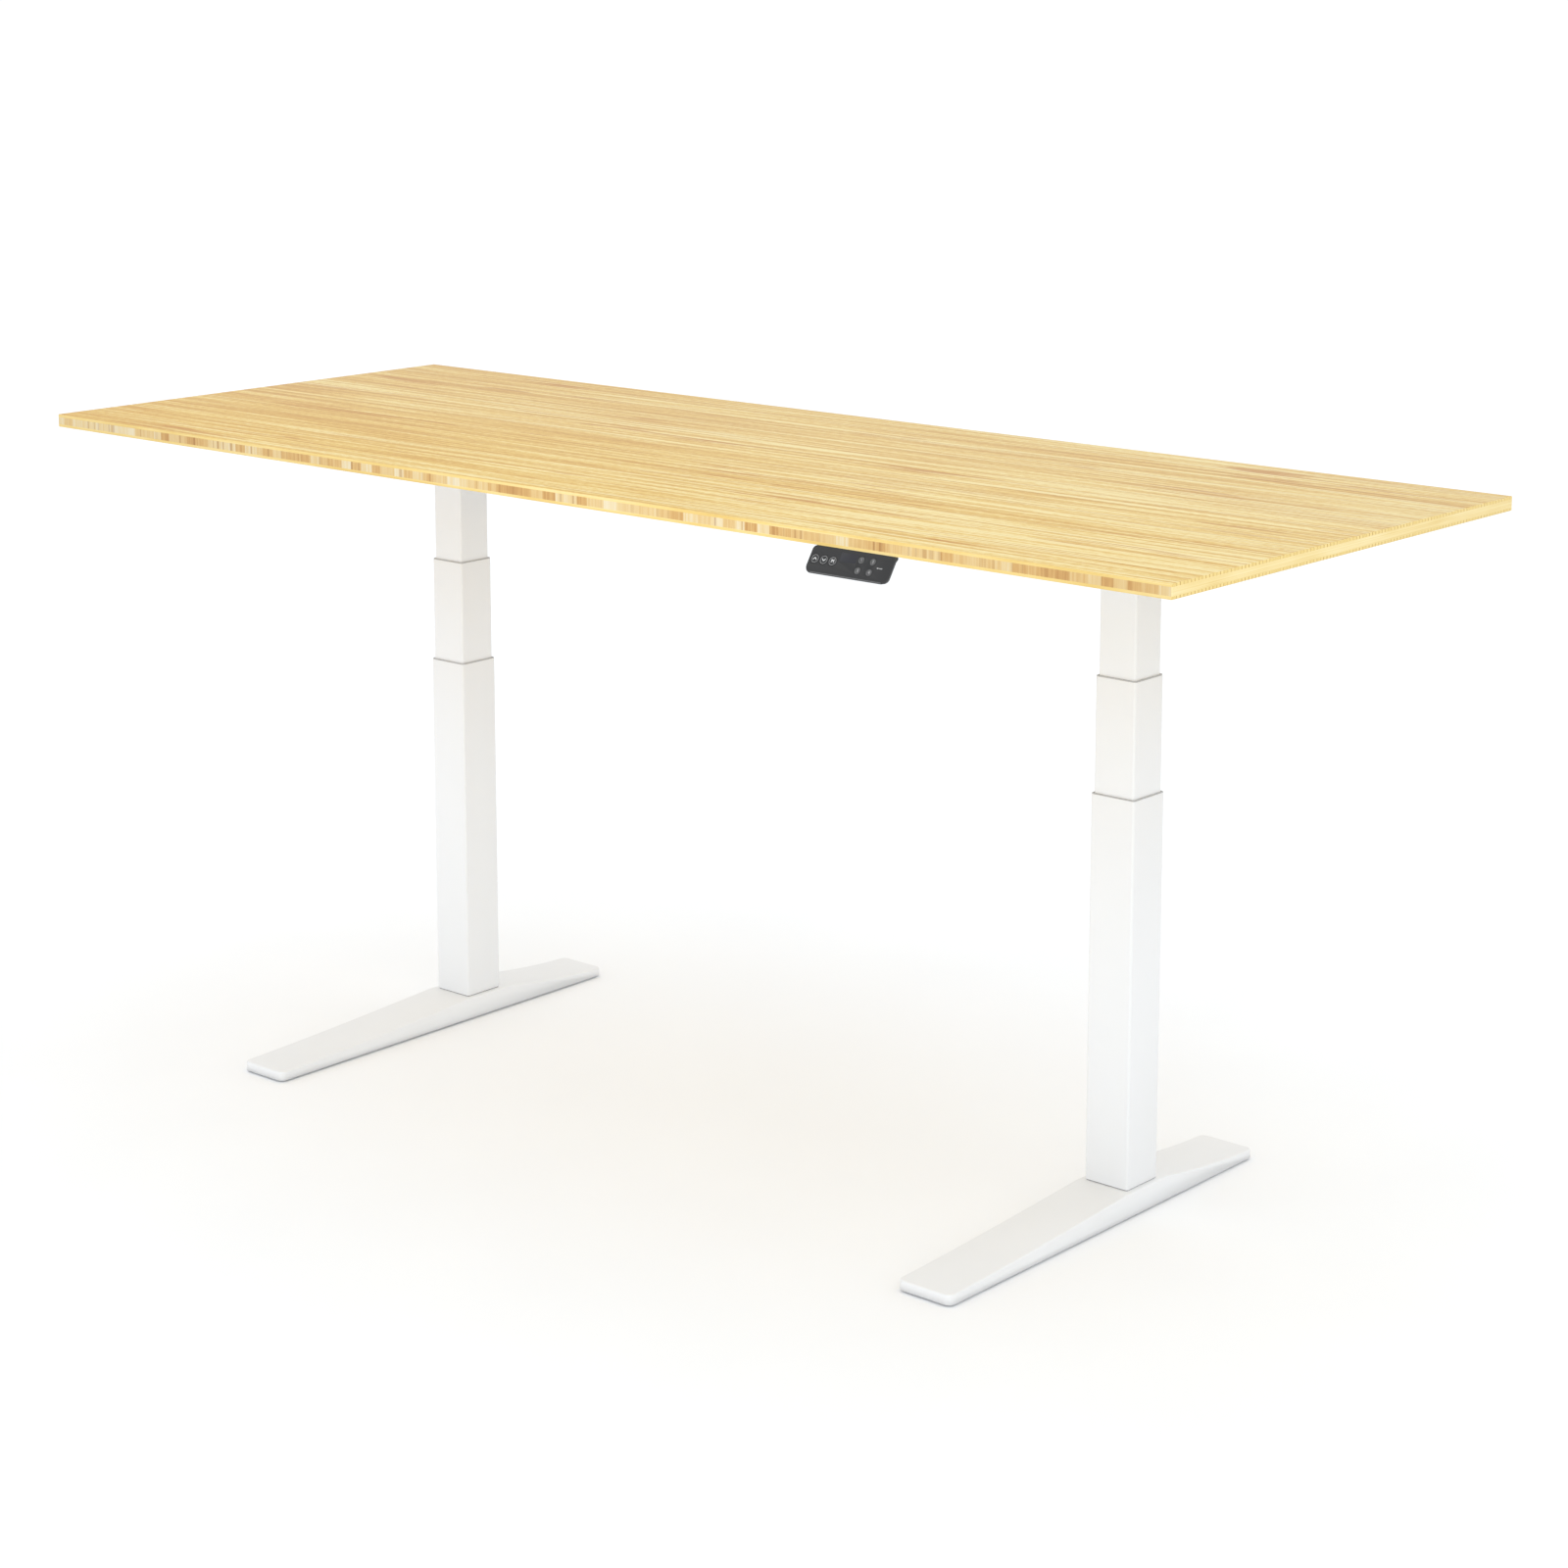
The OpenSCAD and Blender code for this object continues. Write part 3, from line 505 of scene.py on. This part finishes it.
def stained(tree, colour, amount, stain):
    """A colour turned towards a stain by an amount from 0 to 1."""
    blend = tree.nodes.new("ShaderNodeMix")
    blend.data_type = "RGBA"
    tree.links.new(amount, blend.inputs[0])
    tree.links.new(colour, blend.inputs[6])
    blend.inputs[7].default_value = (*stain, 1.0)
    return blend.outputs[2]


def sum_of(tree, *parts):
    """Adds values, each with its own weight."""
    total = None
    for value, weight in parts:
        scaled = tree.nodes.new("ShaderNodeMath")
        scaled.operation = "MULTIPLY_ADD"
        scaled.inputs[1].default_value = weight
        scaled.inputs[2].default_value = 0.0
        tree.links.new(value, scaled.inputs[0])
        if total is not None:
            tree.links.new(total, scaled.inputs[2])
        total = scaled.outputs[0]
    return total


def along(tree, place, axis):
    """The distance along one axis of the object."""
    split = tree.nodes.new("ShaderNodeSeparateXYZ")
    tree.links.new(place, split.inputs[0])
    return split.outputs[axis]


def strips(tree, place, axis, width):
    """One random value for each strip of a width, laid side by side along an axis."""
    count = tree.nodes.new("ShaderNodeMath")
    count.operation = "DIVIDE"
    count.inputs[1].default_value = width
    tree.links.new(along(tree, place, axis), count.inputs[0])
    index = tree.nodes.new("ShaderNodeMath")
    index.operation = "FLOOR"
    tree.links.new(count.outputs[0], index.inputs[0])
    pick = tree.nodes.new("ShaderNodeTexWhiteNoise")
    pick.noise_dimensions = "1D"
    tree.links.new(index.outputs[0], pick.inputs["W"])
    return pick.outputs["Value"]


def seams(tree, place, axis, width, line):
    """One along the glue lines between strips of a width, and zero elsewhere."""
    fold = tree.nodes.new("ShaderNodeMath")
    fold.operation = "PINGPONG"
    fold.inputs[1].default_value = width / 2
    tree.links.new(along(tree, place, axis), fold.inputs[0])
    near = tree.nodes.new("ShaderNodeMapRange")
    near.inputs["From Min"].default_value = line
    near.inputs["From Max"].default_value = line / 3
    tree.links.new(fold.outputs[0], near.inputs["Value"])
    return near.outputs["Result"]


def product(tree, first, second):
    both = tree.nodes.new("ShaderNodeMath")
    both.operation = "MULTIPLY"
    tree.links.new(first, both.inputs[0])
    tree.links.new(second, both.inputs[1])
    return both.outputs[0]


def beyond(tree, value, start, full, most):
    """Nothing below a start, rising to the most at full."""
    step = tree.nodes.new("ShaderNodeMapRange")
    step.inputs["From Min"].default_value = start
    step.inputs["From Max"].default_value = full
    step.inputs["To Max"].default_value = most
    tree.links.new(value, step.inputs["Value"])
    return step.outputs["Result"]


def lacquer(tree, shader, colour, relief_from):
    tree.links.new(colour, shader.inputs["Base Color"])
    shader.inputs["Specular IOR Level"].default_value = 0.3
    shader.inputs["Coat Weight"].default_value = 0.05
    shader.inputs["Coat Roughness"].default_value = 0.35
    relief(tree, shader, relief_from, 0.00005)


strip_width = 0.0074


def bamboo_face():
    material, tree, shader, place = finish("bamboo_face", 0.5)
    bands = grain(tree, place, (0.5, 13.0, 1.0), 2.0)
    streaks = grain(tree, place, (1.3, 60.0, 1.0), 2.0)
    lines = grain(tree, place, (2.4, 150.0, 1.0), 3.0, 0.65)
    fibres = grain(tree, place, (70.0, 300.0, 1.0), 2.0, 0.7)
    strip = strips(tree, place, "Y", strip_width)
    # Painted sheen: the tone rises along x, so the top's colour is painted lighter towards its
    # right end in place of a glossy sheen.
    painted_sheen_rightwards = along(tree, place, "X")
    tone = sum_of(tree, (bands, 0.16), (streaks, 0.22), (lines, 0.4), (fibres, 0.22),
                  (strip, 0.05), (painted_sheen_rightwards, 0.022))
    colour = tones(tree, tone,
                   (0.44, (0.60, 0.33, 0.075)), (0.49, (0.70, 0.45, 0.12)),
                   (0.53, (0.76, 0.535, 0.17)), (0.59, (0.85, 0.70, 0.34)))
    stretch = grain(tree, place, (1.6, 90.0, 1.0), 2.0)
    husk = product(tree, seams(tree, place, "Y", strip_width, 0.0017),
                   beyond(tree, stretch, 0.5, 0.6, 0.85))
    colour = stained(tree, colour, husk, (0.52, 0.25, 0.045))
    hairs = grain(tree, place, (5.0, 170.0, 1.0), 2.0)
    places = grain(tree, place, (2.0, 24.0, 1.0), 2.0)
    knots = beyond(tree, product(tree, hairs, places), 0.35, 0.385, 0.75)
    colour = stained(tree, colour, knots, (0.50, 0.20, 0.03))
    lacquer(tree, shader, colour, fibres)
    return material


def bamboo_side(name, dark, middle, light):
    """Bamboo cut along its strips, as a ply's long edge or the core's end shows it."""
    material, tree, shader, place = finish(name, 0.5)
    lines = grain(tree, place, (3.0, 3.0, 700.0), 3.0)
    drift = grain(tree, place, (9.0, 9.0, 40.0), 2.0)
    tone = sum_of(tree, (lines, 0.5), (drift, 0.5))
    colour = tones(tree, tone, (0.38, dark), (0.5, middle), (0.62, light))
    lacquer(tree, shader, colour, lines)
    return material


def bamboo_face_end():
    material, tree, shader, place = finish("bamboo_face_end", 0.55)
    strip = strips(tree, place, "Y", strip_width)
    pores = grain(tree, place, (1.0, 900.0, 900.0), 2.0)
    tone = sum_of(tree, (strip, 0.16), (pores, 0.84))
    colour = tones(tree, tone, (0.35, (0.74, 0.53, 0.18)), (0.45, (0.82, 0.62, 0.23)),
                   (0.62, (0.87, 0.69, 0.30)))
    husk = product(tree, seams(tree, place, "Y", strip_width, 0.0012), strip)
    colour = stained(tree, colour, husk, (0.46, 0.24, 0.05))
    lacquer(tree, shader, colour, pores)
    return material


def bamboo_core_end():
    material, tree, shader, place = finish("bamboo_core_end", 0.55)
    core_strips = tree.nodes.new("ShaderNodeTexVoronoi")
    core_strips.voronoi_dimensions = "1D"
    core_strips.inputs["Scale"].default_value = 48.0
    tree.links.new(along(tree, place, "X"), core_strips.inputs["W"])
    pick = tree.nodes.new("ShaderNodeSeparateColor")
    tree.links.new(core_strips.outputs["Color"], pick.inputs[0])
    lines = grain(tree, place, (330.0, 1.0, 12.0), 3.0, 0.6)
    drift = grain(tree, place, (6.0, 1.0, 1.0), 2.0)
    tone = sum_of(tree, (pick.outputs[0], 0.3), (lines, 0.4), (drift, 0.3))
    colour = tones(tree, tone,
                   (0.30, (0.49, 0.265, 0.09)), (0.38, (0.59, 0.36, 0.13)),
                   (0.47, (0.66, 0.46, 0.20)), (0.58, (0.70, 0.54, 0.28)),
                   (0.68, (0.73, 0.64, 0.45)))
    cracks = grain(tree, place, (160.0, 1.0, 1.0), 0.0)
    husk = product(tree, beyond(tree, cracks, 0.66, 0.72, 0.75), pick.outputs[1])
    colour = stained(tree, colour, husk, (0.36, 0.17, 0.05))
    lacquer(tree, shader, colour, lines)
    return material


def desktop():
    low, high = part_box("desktop")
    ply, corner, sanded_edge = 0.004, 0.002, 0.0007
    face, core_side, face_end, core_end, ply_side = range(5)
    bm = block(low, high)
    round_edges(bm, [e for e in bm.edges if upright(e)], corner, 3)
    bm.normal_update()
    rim = [e for e in bm.edges if len(e.link_faces) == 2
           and any(abs(f.normal.z) > 0.9 for f in e.link_faces)
           and any(abs(f.normal.z) < 0.1 for f in e.link_faces)]
    round_edges(bm, rim, sanded_edge, 2)
    for joint in (low.z + ply, high.z - ply):
        bmesh.ops.bisect_plane(bm, geom=bm.verts[:] + bm.edges[:] + bm.faces[:],
                               plane_co=(0, 0, joint), plane_no=(0, 0, 1), dist=1e-6)
    bm.normal_update()
    for f in bm.faces:
        in_core = low.z + ply < f.calc_center_median().z < high.z - ply
        at_end = abs(f.normal.x) > 0.6
        if abs(f.normal.z) > 0.9:
            f.material_index = face
        elif in_core:
            f.material_index = core_side if at_end else core_end
        else:
            f.material_index = face_end if at_end else ply_side
    keep(bm, "desktop_bamboo", "lift", ["desktop"], "bamboo",
         bamboo_face(),
         bamboo_side("bamboo_core_side", (0.79, 0.59, 0.23), (0.86, 0.68, 0.31),
                     (0.89, 0.75, 0.41)),
         bamboo_face_end(),
         bamboo_core_end(),
         bamboo_side("bamboo_ply_side", (0.71, 0.49, 0.15), (0.78, 0.575, 0.205),
                     (0.82, 0.65, 0.30)))


desktop()

# ---------------------------------------------------------------- Control box
# The mains supply and motor driver sit in a moulded case screwed under the
# back of the top, with a flat lid below and a three-pin inlet behind.

case = mottled("moulded_case", 0.55, 1100.0, 0.00012, (0.3, (0.022, 0.022, 0.024)),
               (0.7, (0.036, 0.036, 0.038)))
keep(softened("control_box", 0.0008), "control_box_case", "lift", ["control_box"],
     "case_plastic", case)
keep(softened("control_box_lid", 0.0006), "control_box_cover", "lift", ["control_box_lid"],
     "case_plastic", case)


def join(bm, part, material_index):
    """Moves a small part into a piece's mesh, all in one of the piece's materials."""
    for face in part.faces:
        face.material_index = material_index
    mesh = bpy.data.meshes.new("part")
    part.to_mesh(mesh)
    part.free()
    bm.from_mesh(mesh)
    bpy.data.meshes.remove(mesh)


def eased_bar(bm, place, size, material_index):
    """Adds a small bar with eased edges to a piece's mesh, its middle placed by a matrix."""
    bar = bmesh.new()
    bmesh.ops.create_cube(bar, size=1.0)
    bmesh.ops.scale(bar, vec=size, verts=bar.verts)
    ease = min(size) * 0.3
    round_edges(bar, bar.edges[:], ease, 2)
    bmesh.ops.transform(bar, matrix=place, verts=bar.verts)
    join(bm, bar, material_index)


inlet = softened("power_inlet", 0.0004)
inlet_low, inlet_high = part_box("power_inlet")
inlet_middle = (inlet_low + inlet_high) / 2
recess_depth, pin_root = 0.0105, 0.0005
pin_size = Vector((0.002, 0.0085, 0.004))
pin_y = inlet_high.y - recess_depth - pin_root + pin_size.y / 2
for across, up in ((-0.007, -0.0012), (0.0, 0.0028), (0.007, -0.0012)):
    pin_middle = Vector((inlet_middle.x + across, pin_y, inlet_middle.z + up))
    eased_bar(inlet, Matrix.Translation(pin_middle), pin_size, 1)
keep(inlet, "power_inlet_socket", "lift", ["power_inlet"], "case_plastic", case, zinc_plate)

# ---------------------------------------------------------------- Keypad
# A moulded charcoal housing hangs under the front edge with its face sloped
# up at the user. The face is a thin semi-gloss panel with a dark window and
# seven round keys, each with a printed ring and sign.

keypad_tilt = math.radians(57)
keypad_lean = Matrix.Rotation(keypad_tilt, 4, "X")


def keypad_plastic(name, roughness, dark, light):
    return mottled(name, roughness, 1500.0, 0.00005, (0.3, dark), (0.7, light))


def ink(name, grey):
    return mottled(name, 0.6, 2000.0, 0.0, (0.3, [grey * 0.85] * 3), (0.7, [grey] * 3))


housing_plastic = keypad_plastic("keypad_housing", 0.42, (0.012, 0.012, 0.013),
                                 (0.02, 0.02, 0.021))
panel_plastic = keypad_plastic("keypad_panel", 0.4, (0.010, 0.010, 0.011), (0.016, 0.016, 0.017))
window_plastic = keypad_plastic("keypad_window", 0.3, (0.010, 0.010, 0.015),
                                (0.015, 0.015, 0.022))
# Painted highlight: a light grey that stands in for the light caught along the housing's rounded
# lower lip.
lip_highlight_plastic = keypad_plastic("keypad_lip_painted_highlight", 0.3, (0.10, 0.10, 0.102), (0.14, 0.14, 0.142))
ring_ink = ink("ring_ink", 0.42)
sign_ink = ink("sign_ink", 0.88)

face_low, face_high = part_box("keypad_face")
panel_thickness = 0.0015
panel_rise = face_high.z - face_low.z - panel_thickness * math.cos(keypad_tilt)
face_corner = (face_low.x, face_low.y + panel_rise / math.tan(keypad_tilt), face_high.z)
face_turn = Matrix.Translation(face_corner) @ keypad_lean


def raised_bar(bm, across, down, size, material_index):
    """A small bar on the sloping face, placed from the face's upper left corner."""
    eased_bar(bm, face_turn @ Matrix.Translation((across, -down, 0.0)), size, material_index)


housing = softened("keypad_housing", 0.0007, 3)
# A thin light grey bead along the lower edge of the face is a painted highlight of the rounded
# lip below it.
highlight_bead_across, highlight_bead_down, highlight_bead_size = 0.0638, 0.0344, (0.112, 0.0011, 0.0004)
raised_bar(housing, highlight_bead_across, highlight_bead_down, highlight_bead_size, 1)
keep(housing, "keypad_housing_moulding", "lift", ["keypad_housing"], "case_plastic",
     housing_plastic, lip_highlight_plastic)
panel = softened("keypad_face", 0.0002)
mark_down, mark_length, mark_height = 0.0165, 0.0009, 0.0001
for across, width in ((0.1072, 0.0022), (0.1098, 0.0009), (0.1116, 0.0009), (0.1134, 0.0009)):
    raised_bar(panel, across, mark_down, (width, mark_length, mark_height), 1)
keep(panel, "keypad_face_panel", "lift", ["keypad_face"], "keypad_gloss", panel_plastic,
     sign_ink)
keep(softened("keypad_display", 0.0002), "keypad_window", "lift", ["keypad_display"],
     "display_glass", window_plastic)


def drawn(outline):
    """A mesh of a text or a curve, which itself stays out of the scene."""
    holder = bpy.data.objects.new("holder", outline)
    mesh = bpy.data.meshes.new_from_object(holder)
    bm = bmesh.new()
    bm.from_mesh(mesh)
    bpy.data.objects.remove(holder)
    bpy.data.meshes.remove(mesh)
    return bm


def sign_shape(sign, size):
    """A key's printed sign as a flat mesh, centred, in the key's own plane."""
    if sign in ("up", "down"):
        bm = bmesh.new()
        flip = 1.0 if sign == "up" else -1.0
        arm, thick = size * 0.42, size * 0.17
        outline = [(-arm, -arm / 2), (0.0, arm / 2), (arm, -arm / 2),
                   (arm, -arm / 2 - thick), (0.0, arm / 2 - thick), (-arm, -arm / 2 - thick)]
        lift = thick / 2
        bm.faces.new([bm.verts.new((x, flip * (y + lift), 0.0)) for x, y in outline])
    else:
        text = bpy.data.curves.new("sign", "FONT")
        text.body = sign
        text.size = size
        text.align_x = "CENTER"
        text.align_y = "CENTER"
        bm = drawn(text)
    bmesh.ops.recalc_face_normals(bm, faces=bm.faces)
    if sum(f.normal.z for f in bm.faces) < 0:
        bmesh.ops.reverse_faces(bm, faces=bm.faces)
    return bm


def key(node, sign):
    low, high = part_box(node)
    radius = (high.x - low.x) / 2
    thickness, print_root, print_height = 0.0022, 0.0001, 0.00004
    out = keypad_lean @ Vector((0.0, 0.0, 1.0))
    top = (low + high) / 2 + out * (thickness / 2)
    bm = bmesh.new()
    cap = [(0.0, -thickness), (radius, -thickness), (radius, -0.00035),
           (radius - 0.0003, -0.00005), (radius - 0.0008, 0.0), (0.0, -0.0001)]
    turned(bm, cap, Vector(), 0, 48)
    ring_out, ring_in = radius - 0.0009, radius - 0.0013
    ring = [(ring_in, -print_root), (ring_in, print_height), (ring_out, print_height),
            (ring_out, -print_root), (ring_in, -print_root)]
    turned(bm, ring, Vector(), 1, 48)
    mark = sign_shape(sign, radius * 1.05)
    raised = bmesh.ops.extrude_face_region(mark, geom=mark.faces[:])["geom"]
    bmesh.ops.translate(mark, vec=(0, 0, print_root + print_height),
                        verts=[v for v in raised if isinstance(v, bmesh.types.BMVert)])
    bmesh.ops.translate(mark, vec=(0, 0, -print_root), verts=mark.verts)
    bmesh.ops.recalc_face_normals(mark, faces=mark.faces)
    join(bm, mark, 2)
    bmesh.ops.transform(bm, matrix=Matrix.Translation(top) @ keypad_lean, verts=bm.verts)
    keep(bm, node + "_key", node, [node], "keypad_gloss", panel_plastic, ring_ink, sign_ink)


for name, sign in (("up", "up"), ("down", "down"), ("memory", "M"),
                   ("1", "1"), ("2", "2"), ("3", "3"), ("4", "4")):
    key("button_" + name, sign)

# ---------------------------------------------------------------- Leads
# Round black leads run from the motors and the keypad to the control box,
# held flat against the underside by moulded saddle clips. The points of their
# routes are in mm: to the side, behind the top's middle and below its underside.

desk_low, desk_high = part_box("desktop")
desk_middle = (desk_low.y + desk_high.y) / 2
lead_radius = 0.0025
motor_lead_route = [
    (477, 82, 30), (468, 82, 29.5), (456, 84, 27), (446, 90, 22), (438, 99, 16), (430, 110, 10),
    (422, 123, 6), (414, 138, 4.5), (408, 155, 4.5), (405, 172, 4.5), (405, 205, 4.5),
    (402, 223, 4.5), (392, 237, 4.5), (376, 245, 4.5), (358, 246, 4.5), (280, 246, 4.5),
    (205, 246, 4.5), (188, 246, 6), (174, 246, 10), (162, 246, 15), (152, 246, 17),
    (142, 246, 17), (127, 246, 17)]
keypad_lead_route = [
    (548, -352, 6.5), (548, -336, 6.5), (548, -318, 5.5), (548, -300, 4.5), (548, -200, 4.5),
    (548, -100, 4.5), (545, -78, 4.5), (536, -61, 4.5), (520, -51, 4.5), (502, -48, 4.5),
    (440, -48, 4.5), (401, -48, 4.5), (383, -45, 4.5), (367, -35, 4.5), (358, -19, 4.5),
    (355, -1, 4.5), (355, 80, 4.5), (355, 169, 4.5), (352, 187, 4.5), (342, 203, 4.5),
    (326, 212, 4.5), (308, 215, 4.5), (255, 215, 4.5), (205, 215, 4.5), (188, 215, 6),
    (174, 215, 10), (162, 215, 15), (152, 215, 17), (142, 215, 17), (127, 215, 17)]

lead_rubber = mottled("jacket", 0.5, 700.0, 0.00005, (0.3, (0.012, 0.012, 0.013)),
                      (0.7, (0.022, 0.022, 0.023)))


def lead(name, node, route, hand=1.0):
    curve = bpy.data.curves.new(name, "CURVE")
    curve.dimensions = "3D"
    curve.bevel_depth = lead_radius
    curve.bevel_resolution = 3
    curve.use_fill_caps = True
    line = curve.splines.new("POLY")
    line.points.add(len(route) - 1)
    for point, (across, behind, below) in zip(line.points, route):
        place = Vector((hand * across, behind, -below)) / 1000
        point.co = (*(place + Vector((0.0, desk_middle, desk_low.z))), 1.0)
    bm = drawn(curve)
    bmesh.ops.recalc_face_normals(bm, faces=bm.faces)
    keep(bm, name, "lift", [node], "lead_rubber", lead_rubber, sharp=60)


lead("motor_lead_left_flex", "motor_lead_left", motor_lead_route, -1.0)
lead("motor_lead_right_flex", "motor_lead_right", motor_lead_route)
lead("keypad_lead_flex", "keypad_lead", keypad_lead_route)
keep(softened("lead_clips", 0.0005), "lead_clips_moulded", "lift", ["lead_clips"],
     "lead_rubber", guide_plastic)
